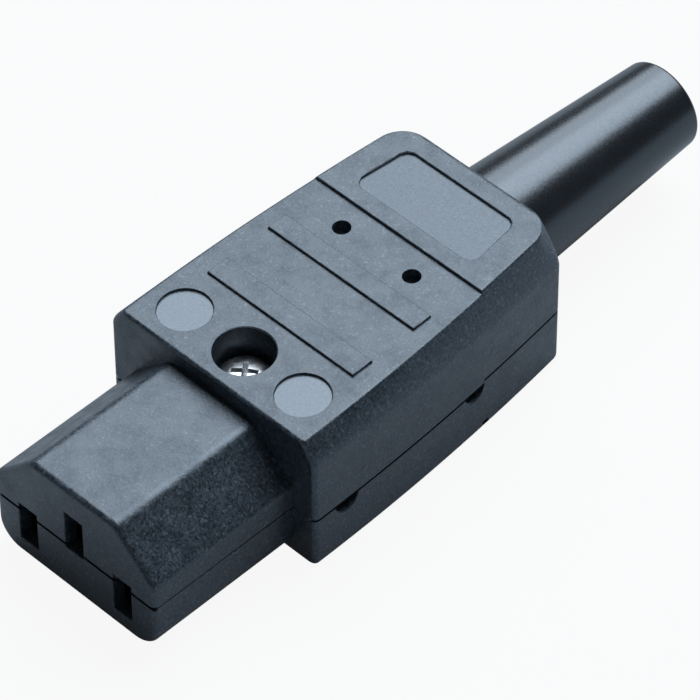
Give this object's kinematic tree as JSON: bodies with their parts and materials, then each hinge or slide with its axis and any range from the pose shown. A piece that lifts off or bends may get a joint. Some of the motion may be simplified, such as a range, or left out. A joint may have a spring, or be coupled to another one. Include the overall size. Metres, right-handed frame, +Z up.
{
  "type": "c13 power connector",
  "caption": "Rewireable C13 mains connector: two screwed half shells with a chamfered nose, folded brass contacts with screw terminals, a cord clamp and a tapered bend sleeve.",
  "frame": {"origin": "middle of the box's footprint, on the face that the connector rests on", "axes": "+X is the width, +Y runs from the mating face to the cord end along the length, +Z is up towards the cover with the screw"},
  "size_m": [0.03, 0.0894, 0.0192],
  "materials": {
    "charcoal_moulding": "fine spark-eroded grain",
    "soft_sleeve": "smooth, slightly glossy",
    "plated_steel": "zinc plated",
    "spring_steel": "bright strip",
    "brass": "stamped strip"
  },
  "bodies": {
    "root": {"upper_shell": "charcoal_moulding", "lower_shell": "charcoal_moulding", "sleeve": "soft_sleeve", "housing_screw": "plated_steel", "housing_nut": "brass", "live_contact": "brass", "neutral_contact": "brass", "earth_contact": "brass", "live_contact_clip": "spring_steel", "neutral_contact_clip": "spring_steel", "earth_contact_clip": "spring_steel", "live_terminal_screw": "plated_steel", "neutral_terminal_screw": "plated_steel", "earth_terminal_screw": "plated_steel", "live_washer": "plated_steel", "neutral_washer": "plated_steel", "earth_washer": "plated_steel", "cord_clamp": "charcoal_moulding", "clamp_screw_left": "plated_steel", "clamp_screw_right": "plated_steel"}
  },
  "joints": []
}
